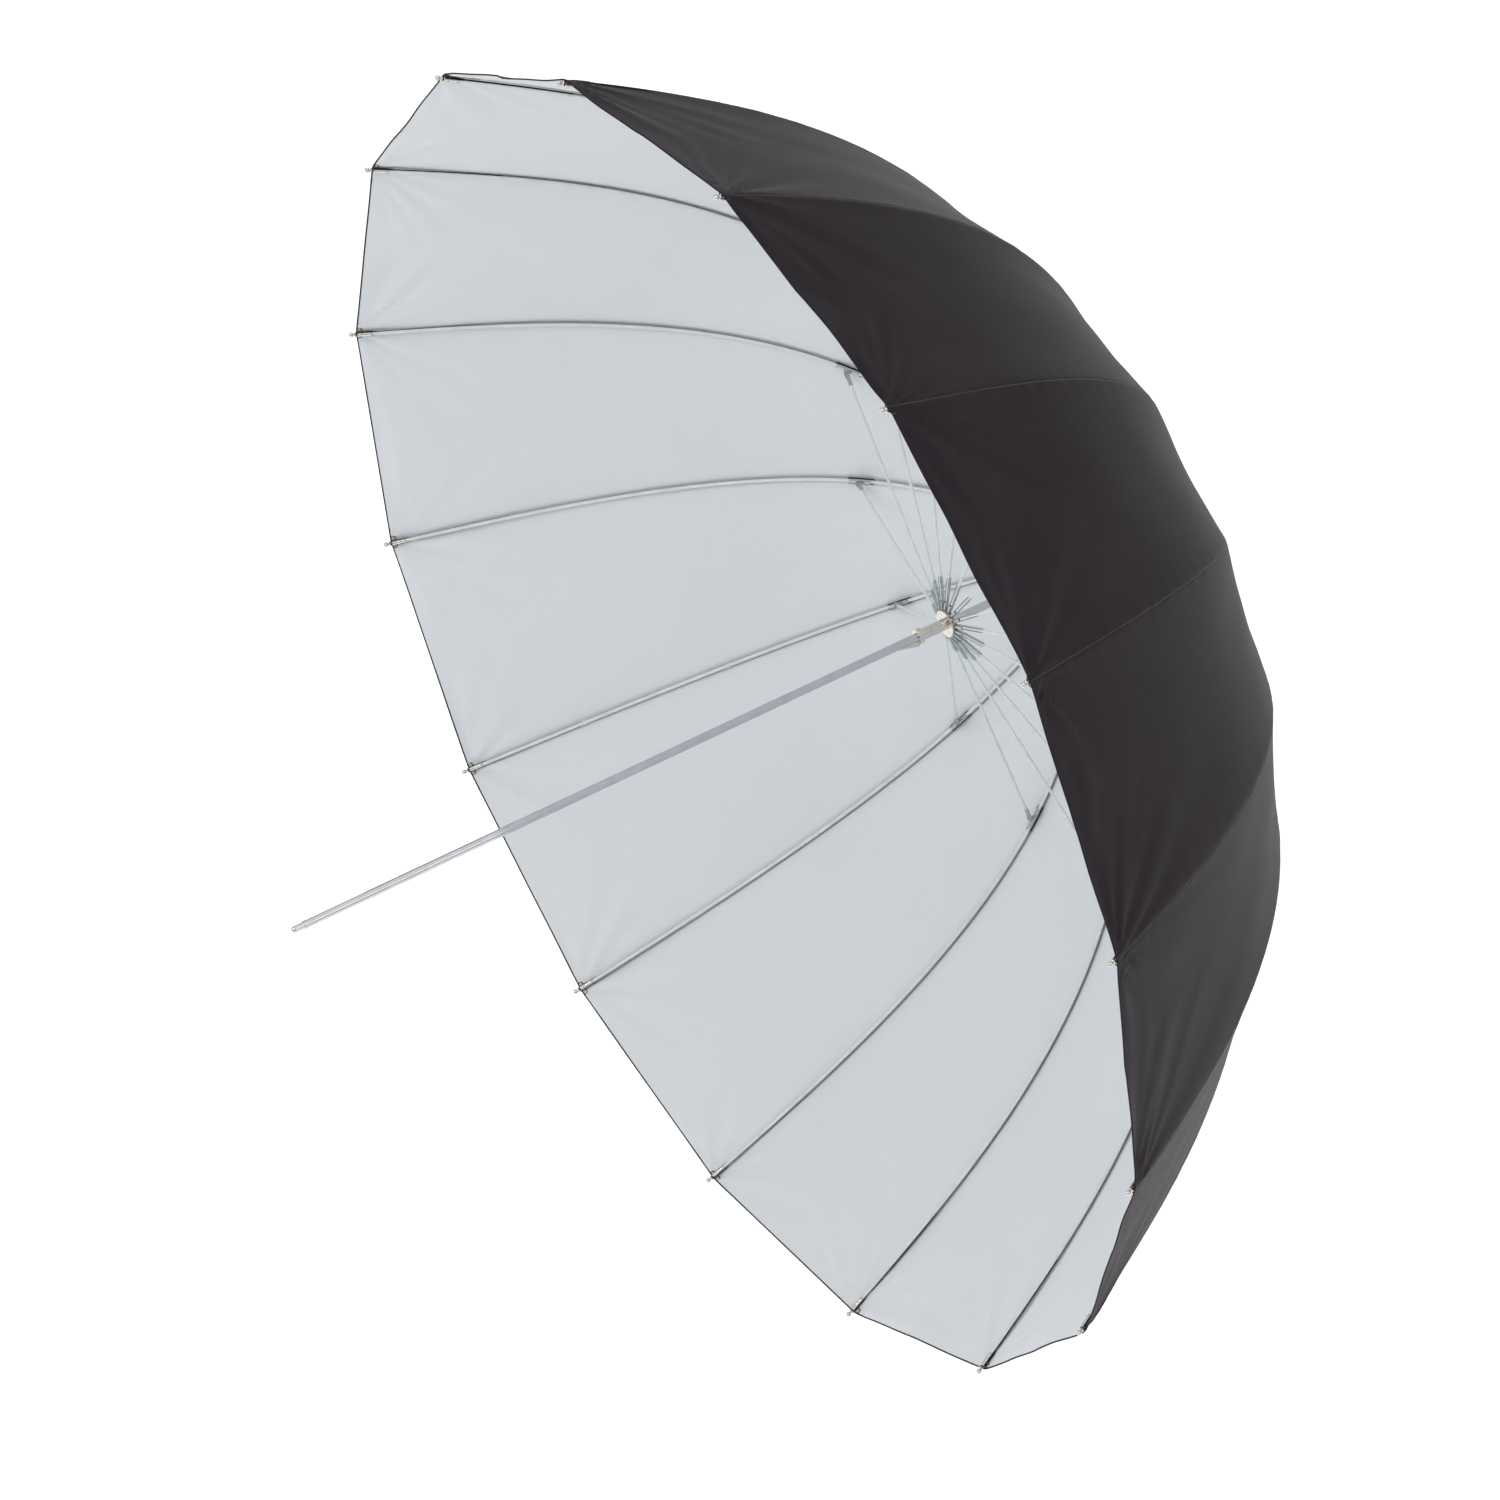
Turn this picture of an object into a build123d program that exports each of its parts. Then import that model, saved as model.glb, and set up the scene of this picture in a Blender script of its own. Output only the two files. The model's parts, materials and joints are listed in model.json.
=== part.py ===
from build123d import *
import os
from math import asin, ceil, cos, degrees, hypot, radians, sin

# Studio umbrella reflector, opened. The shaft lies along Y, with its free end towards -Y and the
# crown of the canopy towards +Y. The origin is on the shaft, in the plane of the rib tips.
# Heights below are along Y, and radii are from the shaft's axis. Everything is in millimetres.

# Driving dimensions
rib_count = 16
rim_radius = 650.0          # shaft axis to the ball at the end of a rib
rim_angle = 26.5            # degrees between the shaft and a rib, at the rib's tip
crown_angle = 72.5          # the same angle over the straight stretch next to the crown
bend_length = 562.0         # a rib bends from its tip to here, ever more tightly
saddle_distance = 503.0     # rib tip to the saddle that its stretcher is riveted to
saddle_drop = 6.0           # stretcher rivet below the rib's centreline
pivot_radius = 12.0         # wire rings that the ribs and stretchers turn on
shaft_radius = 4.0          # umbrella brackets take an 8 mm shaft
shaft_wall = 0.8
shaft_tip = -436.0          # end of the tube, under its plug
shaft_past_crown = 17.0
rib_rod = 1.8
stretcher_rod = 1.4
canopy_gap = 3.9            # rib centreline to the inside of the canopy
canopy_wall = 0.8
canopy_bands = 20           # flat bands from the rim to the crown
crown_reach = 30.0          # the last of them ends this far along the rib from the crown
neck_radius = 6.5
corner_distance = 5.5       # rib tip to the corner of the cloth
seam_gap = 0.1              # between neighbouring gores
catch_angle = -45.0         # side of the shaft that the catch is on, from +X towards +Z

# Notches of the crown and the runner, and the flattened ends that sit in them
eye_width = 2.4
eye_radius = 2.2
eye_bore = 0.8
wire_radius = 0.6
slot_width = 2.9
slot_floor = 8.5
notch_radius = 13.5
notch_rise = 2.1            # past the pivots, on the side that the bars fold towards
notch_depth = 4.0           # past the pivots, on the other side
notch_flange = 1.3
sleeve_radius = 5.6
groove_half_width = 0.65
groove_floor = 11.3

# Runner, catch and shaft details
running_gap = 0.1
runner_length = 36.0
collar_radius = 7.5
collar_length = 5.0
catch_length = 24.0
catch_height = 5.0
catch_width = 1.6
catch_slot = 2.2
catch_to_collar = 0.4
anchor_distance = 80.0
strip_lift = 1.5            # spring strip above the shaft's axis
strip_thickness = 1.0
stop_groove_width = 1.2
stop_past_anchor = 6.0
flat_length = 60.0
flat_depth = 0.35
plug_radius = 3.25
plug_length = 12.5
plug_stem = 15.0
shaft_fit = 0.03
hook_half_height = 0.6
spring_roll_radius = 0.8
crown_sleeve = 11.0
washer_radius = 11.0
washer_thickness = 1.2
washer_lift = 7.1           # above the pivots of the ribs
cap_radius = 7.5
cap_dome = 5.0
cap_lift = 8.4
cap_length = 11.6

# Metal ends of the rods
rod_gap = 0.08
root_tube_radius = 2.3
root_tube_start = 10.0
root_tube_end = 24.0
root_rod_start = 4.0        # past the tube's start
shoe_width = 3.8
shoe_height = 3.0
shoe_start = 3.6
shoe_end = 33.0
rod_in_shoe = 10.0
fork_gap = 1.2
fork_half_width = 2.2
fork_radius = 2.0
fork_end = 19.0
fork_gap_depth = 7.0
rod_in_fork = 10.5
saddle_length = 25.0
saddle_radius = 2.9
rivet_radius = 0.8
rivet_head_radius = 1.5
rivet_head_height = 0.6
lug_half_width = 3.0
lug_half_thickness = 0.9
boss_radius = 2.0
flex_past_saddle = 3.0
flex_clearance = 2.2        # inner rod's end to the axis that stands in for the bending
flex_barrel = 3.4
tip_tube_radius = 2.3
tip_tube_length = 21.0
tip_ball_radius = 2.6
tip_ring_end = 4.4
tip_rod_end = 4.5

longest_arc = 70.0
spare = 0.5                 # how far a cutting tool runs past what it cuts


# ---- the line of a rib

def rib_angle(distance):
    """Degrees between the shaft and a rib, by distance from the rib's tip."""
    share = min(distance / bend_length, 1.0)
    return rim_angle + (crown_angle - rim_angle) * share**2


def rib_point(distance, lift=0.0):
    """(radius, height) on a rib, by distance from its tip and by lift off its centreline."""
    steps = ceil(distance) + 1
    step = distance / steps
    radius = rim_radius
    height = 0.0
    for i in range(steps):
        angle = radians(rib_angle((i + 0.5) * step))
        radius -= sin(angle) * step
        height += cos(angle) * step
    angle = radians(rib_angle(distance))
    return radius + lift * cos(angle), height + lift * sin(angle)


bend_radius, bend_height = rib_point(bend_length)
rib_length = bend_length + (bend_radius - pivot_radius) / sin(radians(crown_angle))
crown_height = rib_point(rib_length)[1]
rivet_at, rivet_height = rib_point(saddle_distance, -saddle_drop)
# stretchers as long as the inner ribs keep the runner on the shaft while the umbrella folds
runner_height = 2 * rivet_height - crown_height
stretcher_rise = rivet_height - runner_height
stretcher_length = hypot(rivet_at - pivot_radius, stretcher_rise)
stretcher_slope = degrees(asin(stretcher_rise / stretcher_length))
flex_distance = saddle_distance - saddle_length / 2 - flex_past_saddle
catch_end = runner_height - runner_length - catch_to_collar
catch_start = catch_end - catch_length
anchor_height = catch_end - anchor_distance


# ---- helpers, for parts drawn in the XY plane with the radius along X

def around(shape, number):
    """The shape, drawn for rib 1, moved to a rib's place round the shaft."""
    return Rot(0, -360 / rib_count * (number - 1), 0) * shape


def on_rib(distance):
    """Where a rib's fitting goes: X along the rib to its tip, Y out of the canopy."""
    radius, height = rib_point(distance)
    return Pos(radius, height, 0) * Rot(0, 0, rib_angle(distance) - 90)


def rod_x(radius, start, end):
    """A round bar along X."""
    return Pos((start + end) / 2, 0, 0) * Rot(0, 90, 0) * Cylinder(radius, end - start)


def block(x, y, z):
    """A box from its (low, high) limits along each axis."""
    size = [high - low for low, high in (x, y, z)]
    centre = [(high + low) / 2 for low, high in (x, y, z)]
    return Pos(*centre) * Box(*size)


def disc(radius, low, high):
    """A cylinder on the shaft's axis, between two heights."""
    return Pos(0, (low + high) / 2, 0) * Rot(90, 0, 0) * Cylinder(radius, high - low)


def rib_rod_between(start, end):
    """The stretch of a rib's rod between two distances from the tip."""
    count = ceil((end - start) / longest_arc)
    step = (end - start) / count
    angle = radians(rib_angle(start))
    point = Vector(*rib_point(start))
    heading = Vector(-sin(angle), cos(angle))
    first = Plane(point, z_dir=heading)
    edges = []
    for i in range(count):
        turn = rib_angle(start + (i + 1) * step) - rib_angle(start + i * step)
        edge = JernArc(point, heading, step / radians(turn), turn)
        edges.append(edge)
        point = edge @ 1
        heading = edge % 1
    return sweep(first * Circle(rib_rod), path=Wire(edges))


# ---- ribs

def root_end():
    """Flattened eye that sits in the crown, with a tube for the rod. It points along X."""
    eye = Cylinder(eye_radius, eye_width)
    half = eye_radius * 0.9
    neck = block((0, root_tube_start + 1), (-half, half), (-eye_width / 2, eye_width / 2))
    tube = rod_x(root_tube_radius, root_tube_start, root_tube_end)
    bore_start = root_tube_start + root_rod_start - 1
    bore = rod_x(rib_rod + rod_gap, bore_start, root_tube_end + spare)
    return eye + neck + tube - bore - Cylinder(eye_bore, eye_width * 2)


def saddle():
    """Clip round the rib with the lug and rivet that the stretcher's fork turns on."""
    half = saddle_length / 2
    clip = rod_x(saddle_radius, -half, half)
    bore_radius = rib_rod + 4 * rod_gap
    bore = rod_x(bore_radius, -half - spare, half + spare)
    thickness = (-lug_half_thickness, lug_half_thickness)
    clip_side = (bore_radius + saddle_radius) / 2
    lug = block((-lug_half_width, lug_half_width), (-saddle_drop, -clip_side), thickness)
    boss = Cylinder(boss_radius, 2 * lug_half_thickness)
    side = fork_half_width + spare
    rivet = Cylinder(rivet_radius, 2 * side)
    heads = [Pos(0, 0, z) * Cylinder(rivet_head_radius, rivet_head_height) for z in (-side, side)]
    return clip - bore + lug + Pos(0, -saddle_drop, 0) * (boss + rivet + heads)


def inner_rib():
    """Rib from the crown to its saddle: metal end, rod and saddle."""
    straight_end = rib_length - root_tube_start - root_rod_start
    curved = rib_rod_between(flex_distance + flex_clearance, bend_length)
    middle = Pos(bend_radius, bend_height, 0) * Rot(0, 0, crown_angle - 90)
    straight = middle * rod_x(rib_rod, bend_length - straight_end, 0)
    end = Pos(pivot_radius, crown_height, 0) * Rot(0, 0, crown_angle - 90) * root_end()
    return [curved + straight, end, on_rib(saddle_distance) * saddle()]


def tip_cap():
    """Tube on the rib's end with a ball past the cloth. The ball is at the origin."""
    tube = rod_x(tip_tube_radius, -tip_tube_length, -1)
    bore = rod_x(rib_rod + rod_gap, -tip_tube_length - spare, -tip_rod_end + spare)
    ring = rod_x(tip_ball_radius, -tip_ring_end, 1 - tip_ring_end)
    return tube + Sphere(tip_ball_radius) + ring - bore


def outer_rib():
    """Rib from its saddle to the rim: rod and tip cap."""
    barrel = on_rib(flex_distance) * Cylinder(rib_rod, flex_barrel)
    rod = rib_rod_between(tip_rod_end, flex_distance) + barrel
    return [rod, on_rib(0) * tip_cap()]


# ---- stretchers

def shoe():
    """Eye and open channel on the runner's end of a stretcher. It points along X."""
    eye = Cylinder(eye_radius, eye_width)
    half = shoe_height / 2
    neck = block((0, shoe_start + 2), (-half, half), (-eye_width / 2, eye_width / 2))
    body = block((shoe_start, shoe_end), (-half, half), (-shoe_width / 2, shoe_width / 2))
    wide = stretcher_rod + rod_gap
    bed = block((rod_in_shoe - 1, shoe_end + spare), (-half - spare, 0), (-wide, wide))
    bore = rod_x(wide, rod_in_shoe - 1, shoe_end + spare)
    return eye + neck + body - bed - bore - Cylinder(eye_bore, eye_width * 2)


def fork():
    """Two cheeks on the saddle's end of a stretcher. The rivet is at the origin."""
    cheek = Cylinder(fork_radius, 2 * fork_half_width)
    arm_start = -fork_gap_depth - 2
    sides = (-fork_half_width, fork_half_width)
    arm = block((arm_start, 0), (-fork_radius, fork_radius), sides)
    gap_end = fork_radius + spare
    gap = block((-fork_gap_depth, gap_end), (-gap_end, gap_end), (-fork_gap, fork_gap))
    tube = rod_x(fork_radius, -fork_end, -fork_gap_depth - 1)
    bore = rod_x(stretcher_rod + rod_gap, -fork_end - spare, spare - rod_in_fork)
    hole = Cylinder(rivet_radius + 0.15, 3 * fork_half_width)
    return cheek + arm + tube - gap - bore - hole


def stretcher():
    """Strut from the runner to a saddle: shoe, rod and fork."""
    rod = rod_x(stretcher_rod, rod_in_shoe, stretcher_length - rod_in_fork)
    pieces = [shoe(), rod, Pos(stretcher_length, 0, 0) * fork()]
    place = Pos(pivot_radius, runner_height, 0) * Rot(0, 0, stretcher_slope)
    return [place * piece for piece in pieces]


# ---- crown and runner

def notched(hub, facing):
    """Cut the slots and the wire's groove. The pivots are at height 0, slots facing + or -Y."""
    low = -notch_depth + notch_flange
    high = notch_rise + spare
    heights = sorted((low * facing, high * facing))
    slot = block((slot_floor, notch_radius + 2), heights, (-slot_width / 2, slot_width / 2))
    channel = disc(notch_radius + 2, -groove_half_width, groove_half_width)
    channel -= disc(groove_floor, -1, 1)
    return hub - [around(slot, number) for number in range(1, rib_count + 1)] - channel


def crown():
    """Slotted disc fixed on the shaft, which the ribs hang from."""
    hub = disc(notch_radius, -notch_rise, notch_depth)
    hub += disc(sleeve_radius, -crown_sleeve, notch_depth)
    bore = disc(shaft_radius + shaft_fit, -crown_sleeve - 1, notch_depth + 1)
    return Pos(0, crown_height, 0) * (notched(hub, -1) - bore)


def runner():
    """Slotted disc with a sleeve and collar that slides on the shaft."""
    hub = disc(notch_radius, -notch_depth, notch_rise)
    hub += disc(sleeve_radius, -runner_length, 0)
    hub += disc(collar_radius, -runner_length, -runner_length + collar_length)
    bore = disc(shaft_radius + running_gap, -runner_length - 1, notch_rise + 1)
    return Pos(0, runner_height, 0) * (notched(hub, 1) - bore)


def wire_ring(height):
    """Wire that threads the eyes of all the ribs, or all the stretchers."""
    return Pos(0, height, 0) * Rot(90, 0, 0) * Torus(pivot_radius, wire_radius)


# ---- shaft, plug, catch and cap

def shaft():
    """Tube with a slot for the catch, a groove where brackets stop, and two pressed flats."""
    top = crown_height + shaft_past_crown
    tube = disc(shaft_radius, shaft_tip, top)
    tube -= disc(shaft_radius - shaft_wall, shaft_tip - 1, top + 1)
    stop = anchor_height - stop_past_anchor
    ring = disc(shaft_radius + 1, stop, stop + stop_groove_width)
    tube -= ring - disc(shaft_radius - 0.2, stop - 1, stop + 2)
    slot = block((0, 6), (catch_start - 2, catch_end + 1), (-catch_slot / 2, catch_slot / 2))
    hook_limits = (anchor_height - 2, anchor_height + 2)
    hook_hole = block((0, 6), hook_limits, (-catch_slot / 2, catch_slot / 2))
    tube -= [Rot(0, -catch_angle, 0) * cut for cut in (slot, hook_hole)]
    for side in (-1, 1):
        x = sorted((side * (shaft_radius - flat_depth), side * (shaft_radius + 1)))
        flat = block(x, (shaft_tip + 3, shaft_tip + 3 + flat_length), (-3, 3))
        tube -= Rot(0, -catch_angle, 0) * flat
    return tube


def end_plug():
    """Domed plug in the shaft's free end."""
    nose = shaft_tip - plug_length + plug_radius
    plug = disc(plug_radius, nose, shaft_tip) + Pos(0, nose, 0) * Sphere(plug_radius)
    return plug + disc(shaft_radius - shaft_wall - shaft_fit, shaft_tip, shaft_tip + plug_stem)


def catch():
    """Spring strip inside the shaft, with the wedge that holds the runner up."""
    half = catch_width / 2
    low = strip_lift - strip_thickness / 2
    top = low + strip_thickness
    strip = block((low, top), (anchor_height, catch_start + 6), (-half, half))
    hook_limits = (anchor_height - hook_half_height, anchor_height + hook_half_height)
    hook = block((low, shaft_radius - running_gap), hook_limits, (-half, half))
    roll = Pos(strip_lift, anchor_height, 0) * Cylinder(spring_roll_radius, catch_width)
    wedge = Polygon(
        (low, catch_start),
        (shaft_radius - running_gap, catch_start),
        (shaft_radius + catch_height, catch_end - 1),
        (shaft_radius + catch_height - 0.8, catch_end),
        (2.3, catch_end),
        align=None,
    )
    wedge = Pos(0, 0, -half) * extrude(wedge, catch_width, dir=(0, 0, 1))
    return Rot(0, -catch_angle, 0) * (strip + hook + roll + wedge)


def cap():
    """Domed cap over the shaft's end, outside the canopy."""
    low = crown_height + cap_lift
    dome = low + cap_length - cap_dome
    body = disc(cap_radius, low, dome)
    body += Pos(0, dome, 0) * scale(Sphere(cap_radius), (1, cap_dome / cap_radius, 1))
    bore_end = crown_height + shaft_past_crown + running_gap
    return body - disc(shaft_radius + shaft_fit, low - 1, bore_end)


def washer():
    """Washer between the cap and the canopy."""
    low = crown_height + washer_lift
    high = low + washer_thickness
    return disc(washer_radius, low, high) - disc(shaft_radius + shaft_fit, low - 1, high + 1)


# ---- canopy

def ring_of(radius, height):
    """Flat polygon round the shaft with a corner on every rib."""
    return Plane(origin=(0, height, 0), x_dir=(1, 0, 0), z_dir=(0, 1, 0)) * RegularPolygon(
        radius, rib_count, major_radius=True
    )


def tent(lift):
    """Solid under the canopy's ribs, lifted off them, that rises over the crown to a neck."""
    step = (rib_length - crown_reach - corner_distance) / canopy_bands
    rings = [rib_point(corner_distance + i * step, lift) for i in range(canopy_bands + 1)]
    rings.append((notch_radius + 2, crown_height + lift + 0.8))
    rings.append((neck_radius, crown_height + lift + 2.2))
    return loft([ring_of(*ring) for ring in rings], ruled=True)


def canopy():
    """The gores of cloth between the ribs, sewn to each other. They end at the rim and the neck."""
    neck = disc(neck_radius - spare, crown_height, crown_height + 10)
    shell = tent(canopy_gap + canopy_wall) - tent(canopy_gap) - neck
    reach = 2 * rim_radius
    step = radians(360 / rib_count)
    corner = (reach * cos(step), reach * sin(step))
    sector = Plane.XZ * Polygon((0, 0), (reach, 0), corner, align=None)
    inset = seam_gap / 2 / sin(step / 2)
    shift = Pos(inset * cos(step / 2), 0, inset * sin(step / 2))
    gore = shell & shift * extrude(sector, reach, both=True)
    return [around(gore, number) for number in range(1, rib_count + 1)]


# ---- write the files

def write(name, pieces):
    """One file for a node, holding one solid or several."""
    if isinstance(pieces, list):
        pieces = Compound(children=list(pieces))
    export_step(pieces, f"parts/{name}.step")


os.makedirs("parts", exist_ok=True)
write("shaft", shaft())
write("shaft_end_plug", end_plug())
write("catch_spring", catch())
write("crown_notch", crown())
write("crown_wire", wire_ring(crown_height))
write("runner", runner())
write("runner_wire", wire_ring(runner_height))
write("crown_cap", cap())
write("crown_washer", washer())
write("canopy", canopy())
for number in range(1, rib_count + 1):
    write(f"rib_inner_{number:02d}", [around(piece, number) for piece in inner_rib()])
    write(f"rib_outer_{number:02d}", [around(piece, number) for piece in outer_rib()])
    write(f"stretcher_{number:02d}", [around(piece, number) for piece in stretcher()])
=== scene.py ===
import json
import math

import bmesh
import bpy
import numpy as np
from mathutils import Matrix, Vector, noise


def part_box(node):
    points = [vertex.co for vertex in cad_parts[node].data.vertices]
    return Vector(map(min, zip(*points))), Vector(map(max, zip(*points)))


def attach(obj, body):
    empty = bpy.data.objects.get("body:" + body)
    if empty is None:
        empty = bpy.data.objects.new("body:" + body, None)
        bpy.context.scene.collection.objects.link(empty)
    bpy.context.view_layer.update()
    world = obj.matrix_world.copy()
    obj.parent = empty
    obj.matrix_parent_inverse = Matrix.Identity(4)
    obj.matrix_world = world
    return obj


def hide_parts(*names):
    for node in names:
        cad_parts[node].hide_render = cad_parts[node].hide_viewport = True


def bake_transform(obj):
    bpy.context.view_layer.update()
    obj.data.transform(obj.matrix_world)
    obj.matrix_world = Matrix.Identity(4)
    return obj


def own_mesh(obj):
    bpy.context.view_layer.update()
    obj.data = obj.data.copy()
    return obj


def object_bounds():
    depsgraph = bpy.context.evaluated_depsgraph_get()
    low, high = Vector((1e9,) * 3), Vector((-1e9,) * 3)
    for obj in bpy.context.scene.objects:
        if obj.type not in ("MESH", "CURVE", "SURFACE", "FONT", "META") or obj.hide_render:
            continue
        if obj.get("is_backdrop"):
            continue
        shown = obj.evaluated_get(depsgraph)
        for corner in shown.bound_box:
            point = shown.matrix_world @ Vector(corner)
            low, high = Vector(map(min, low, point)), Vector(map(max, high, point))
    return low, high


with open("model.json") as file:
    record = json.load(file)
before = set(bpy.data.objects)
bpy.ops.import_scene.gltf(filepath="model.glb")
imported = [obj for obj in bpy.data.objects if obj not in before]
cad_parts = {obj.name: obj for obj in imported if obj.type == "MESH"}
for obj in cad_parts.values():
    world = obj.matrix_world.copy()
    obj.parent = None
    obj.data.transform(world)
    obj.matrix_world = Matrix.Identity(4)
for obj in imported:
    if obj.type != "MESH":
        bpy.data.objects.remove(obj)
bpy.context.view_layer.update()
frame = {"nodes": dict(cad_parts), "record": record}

# Everything is in metres, in the CAD's frame: the shaft lies along Y, with the crown towards +Y.
# Radii are from the shaft's axis, and heights are along Y.
MM = 0.001
RIBS = 16
STEP_ANGLE = 2 * math.pi / RIBS
joints = {joint["name"]: joint for joint in frame["record"]["behaviour"]["joints"]}


def joint_place(name):
    """(radius, height) of the pivot of a joint of rib 1, which lies in the XY plane."""
    x, y, _ = joints[name]["pos_m"]
    return x, y


crown_pivot = joint_place("canopy_fold")
flex_point = joint_place("rib_flex_01")
rivet = joint_place("stretcher_pivot_01")
runner_pivot = joint_place("runner_pivot")

# The line of a rib, as the CAD draws it
RIM_RADIUS = 0.650
RIM_ANGLE = 26.5
CROWN_ANGLE = 72.5
BEND_LENGTH = 0.562
SADDLE_DISTANCE = 0.503
SADDLE_DROP = 6 * MM
ROD_RADIUS = 1.8 * MM
STRETCHER_ROD = 1.4 * MM
LINE_STEP = 0.5 * MM


def rib_angle(distance):
    """Angle between the shaft and a rib, by distance from the rib's tip."""
    share = np.minimum(np.asarray(distance, float) / BEND_LENGTH, 1.0)
    return np.radians(RIM_ANGLE + (CROWN_ANGLE - RIM_ANGLE) * share**2)


line_distance = np.arange(0.0, 0.9, LINE_STEP)
line_angle = rib_angle(line_distance + LINE_STEP / 2)
line_radius = RIM_RADIUS - LINE_STEP * (np.cumsum(np.sin(line_angle)) - np.sin(line_angle))
line_height = LINE_STEP * (np.cumsum(np.cos(line_angle)) - np.cos(line_angle))
rib_length = float(np.interp(crown_pivot[1], line_height, line_distance))
flex_distance = float(np.interp(flex_point[1], line_height, line_distance))


def rib_point(distance, lift=0.0):
    """(radius, height) on a rib, by distance from its tip and lift out of the canopy."""
    angle = rib_angle(distance)
    radius = np.interp(distance, line_distance, line_radius) + lift * np.cos(angle)
    height = np.interp(distance, line_distance, line_height) + lift * np.sin(angle)
    return radius, height


def rib_turn(number):
    """The turn about the shaft from rib 1 to another."""
    return Matrix.Rotation(-STEP_ANGLE * (number - 1), 4, "Y")


def rib_place(distance, lift=0.0):
    """Where a fitting of rib 1 goes: X along the rib to its tip, Y out of the canopy."""
    radius, height = rib_point(distance, lift)
    turn = Matrix.Rotation(float(rib_angle(distance)) - math.pi / 2, 4, "Z")
    return Matrix.Translation((radius, height, 0)) @ turn


def numbered(name, number):
    return f"{name}_{number:02d}"


# ---- materials

FLOOR_GLOW = 0.4            # the floor is lit from below, as a white studio table is

finishes = {entry["slot"]: entry for entry in frame["record"]["materials"]}


def nodes_of(name, slot, tone=(1.0, 1.0, 1.0)):
    """A new material with a record slot's colour, toned a little, its node tree and its shader."""
    material = bpy.data.materials.new(name)
    material.use_nodes = True
    tree = material.node_tree
    shader = tree.nodes["Principled BSDF"]
    colour = [c * t for c, t in zip(finishes[slot]["base_color"], tone)] + [1.0]
    shader.inputs["Base Color"].default_value = colour
    return material, tree, shader, colour


def noise_node(tree, scale, detail, coordinates="Object"):
    place = tree.nodes.new("ShaderNodeTexCoord")
    texture = tree.nodes.new("ShaderNodeTexNoise")
    texture.inputs["Scale"].default_value = scale
    texture.inputs["Detail"].default_value = detail
    tree.links.new(place.outputs[coordinates], texture.inputs["Vector"])
    return texture


def ramp(tree, source, low, high, start=0.3, end=0.7):
    """Colours from low to high by a texture's value."""
    node = tree.nodes.new("ShaderNodeValToRGB")
    node.color_ramp.elements[0].position = start
    node.color_ramp.elements[1].position = end
    node.color_ramp.elements[0].color = low
    node.color_ramp.elements[1].color = high
    tree.links.new(source, node.inputs["Fac"])
    return node.outputs["Color"]


def shade(colour, share):
    return [channel * share for channel in colour[:3]] + [1.0]


def grey(value):
    return [value, value, value, 1.0]


def bumped(tree, shader, heights, strength, distance):
    """Bump from the sum of some textures' values."""
    total = heights[0]
    for height in heights[1:]:
        add = tree.nodes.new("ShaderNodeMath")
        tree.links.new(total, add.inputs[0])
        tree.links.new(height, add.inputs[1])
        total = add.outputs[0]
    bump = tree.nodes.new("ShaderNodeBump")
    bump.inputs["Strength"].default_value = strength
    bump.inputs["Distance"].default_value = distance
    tree.links.new(total, bump.inputs["Height"])
    tree.links.new(bump.outputs["Normal"], shader.inputs["Normal"])


def cloth_material(name, slot, roughness, tone, mottle, gloss):
    """Plain weave with a soft sheen, and faint marks of handling."""
    material, tree, shader, colour = nodes_of(name, slot, tone)
    shader.inputs["Roughness"].default_value = roughness
    shader.inputs["Sheen Weight"].default_value = 0.15 * gloss
    shader.inputs["Sheen Roughness"].default_value = 0.4
    shader.inputs["Specular IOR Level"].default_value = gloss
    place = tree.nodes.new("ShaderNodeTexCoord")
    weaves = []
    for direction in ("X", "Y"):
        wave = tree.nodes.new("ShaderNodeTexWave")
        wave.bands_direction = direction
        wave.inputs["Scale"].default_value = 250.0
        wave.inputs["Distortion"].default_value = 1.5
        tree.links.new(place.outputs["UV"], wave.inputs["Vector"])
        weaves.append(wave.outputs["Fac"])
    marks = noise_node(tree, 5.0, 4.0)
    tint = ramp(tree, marks.outputs["Fac"], shade(colour, 1 - mottle), shade(colour, 1 + mottle))
    tree.links.new(tint, shader.inputs["Base Color"])
    slubs = noise_node(tree, 90.0, 3.0)
    bumped(tree, shader, weaves + [slubs.outputs["Fac"]], 0.12, 0.0004)
    return material


def metal_material(name, slot, tone, roughness, scale, spread, bump):
    """Plated metal with smudges that change its gloss."""
    material, tree, shader, colour = nodes_of(name, slot, tone)
    shader.inputs["Metallic"].default_value = 1.0
    smudges = noise_node(tree, scale, 5.0)
    dull = ramp(tree, smudges.outputs["Fac"], grey(roughness), grey(roughness + spread))
    tree.links.new(dull, shader.inputs["Roughness"])
    tint = ramp(tree, smudges.outputs["Fac"], colour, shade(colour, 0.86))
    tree.links.new(tint, shader.inputs["Base Color"])
    bumped(tree, shader, [smudges.outputs["Fac"]], bump, 0.0003)
    return material


def zinc_material():
    """Dull zinc, with the patches that its crystals make."""
    material, tree, shader, colour = nodes_of("zinc plate", "galvanised")
    shader.inputs["Metallic"].default_value = 0.9
    place = tree.nodes.new("ShaderNodeTexCoord")
    crystals = tree.nodes.new("ShaderNodeTexVoronoi")
    crystals.inputs["Scale"].default_value = 350.0
    tree.links.new(place.outputs["Object"], crystals.inputs["Vector"])
    spots = crystals.outputs["Distance"]
    tint = ramp(tree, spots, shade(colour, 0.72), shade(colour, 1.12), 0.1, 0.9)
    tree.links.new(tint, shader.inputs["Base Color"])
    tree.links.new(ramp(tree, spots, grey(0.34), grey(0.5)), shader.inputs["Roughness"])
    bumped(tree, shader, [spots], 0.2, 0.0002)
    return material


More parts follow.
